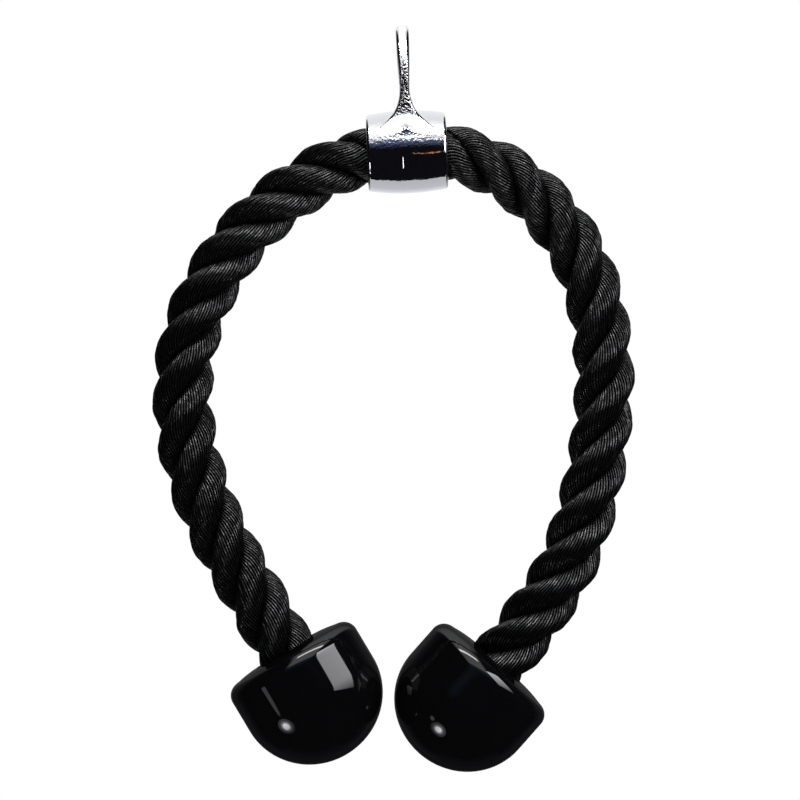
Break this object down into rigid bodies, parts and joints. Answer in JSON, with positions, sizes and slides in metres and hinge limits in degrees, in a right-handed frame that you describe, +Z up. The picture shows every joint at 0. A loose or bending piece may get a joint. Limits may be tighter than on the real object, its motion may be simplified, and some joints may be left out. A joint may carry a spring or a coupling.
{
  "type": "triceps rope attachment",
  "caption": "Pulley-machine rope attachment: a stout laid rope pressed in a chromed collar with a hanging eye, with a moulded ball on each end.",
  "frame": {"origin": "crown of the hanging eye's hole, where the machine's snap hook bears; the attachment hangs below it", "axes": "+Z up along the pull; +X along the collar's axis, towards the right arm in the picture; +Y away from the viewer of the picture"},
  "size_m": [0.2318, 0.069, 0.359],
  "materials": {
    "chrome": "bright chrome plate over a casting, faintly rippled",
    "rope": "black nylon, three laid strands with visible yarns and a soft sheen",
    "ball": "gloss black moulding",
    "ferrule": "zinc-plated steel band, out of sight inside the ball"
  },
  "bodies": {
    "fitting": {"collar_eye": "chrome", "rope_in_collar": "rope"},
    "left_root": {"rope_left_root": "rope"},
    "left_upper": {"rope_left_upper": "rope"},
    "left_lower": {"rope_left_lower": "rope", "end_ball_left": "ball", "end_ferrule_left": "ferrule"},
    "right_root": {"rope_right_root": "rope"},
    "right_upper": {"rope_right_upper": "rope"},
    "right_lower": {"rope_right_lower": "rope", "end_ball_right": "ball", "end_ferrule_right": "ferrule"}
  },
  "joints": [
    {"name": "left_swing", "type": "hinge", "parent": "fitting", "child": "left_root", "pos_m": [-0.0192, 0, -0.0545], "axis": [-1, 0, 0], "range_deg": [-45, 45], "stiffness_Nm_per_rad": 0.4, "deforming": ["rope_left_root"]},
    {"name": "left_spread", "type": "hinge", "parent": "left_root", "child": "left_upper", "pos_m": [-0.05408, 0, -0.06893], "axis": [0, 1, 0], "range_deg": [-0.3, 45], "stiffness_Nm_per_rad": 1, "springref_deg": 0.95, "deforming": ["rope_left_root", "rope_left_upper"]},
    {"name": "left_bend", "type": "hinge", "parent": "left_upper", "child": "left_lower", "pos_m": [-0.10971, 0, -0.14537], "axis": [0, 1, 0], "range_deg": [-0.2, 60], "stiffness_Nm_per_rad": 1.5, "springref_deg": -3.89, "deforming": ["rope_left_upper", "rope_left_lower"]},
    {"name": "right_swing", "type": "hinge", "parent": "fitting", "child": "right_root", "pos_m": [0.0192, 0, -0.0545], "axis": [-1, 0, 0], "range_deg": [-45, 45], "stiffness_Nm_per_rad": 0.4, "deforming": ["rope_right_root"]},
    {"name": "right_spread", "type": "hinge", "parent": "right_root", "child": "right_upper", "pos_m": [0.05324, 0, -0.07037], "axis": [0, -1, 0], "range_deg": [-0.3, 45], "stiffness_Nm_per_rad": 1, "springref_deg": -3.47, "deforming": ["rope_right_root", "rope_right_upper"]},
    {"name": "right_bend", "type": "hinge", "parent": "right_upper", "child": "right_lower", "pos_m": [0.09033, 0, -0.15651], "axis": [0, -1, 0], "range_deg": [-0.2, 60], "stiffness_Nm_per_rad": 1.5, "springref_deg": -5.38, "deforming": ["rope_right_upper", "rope_right_lower"]}
  ]
}
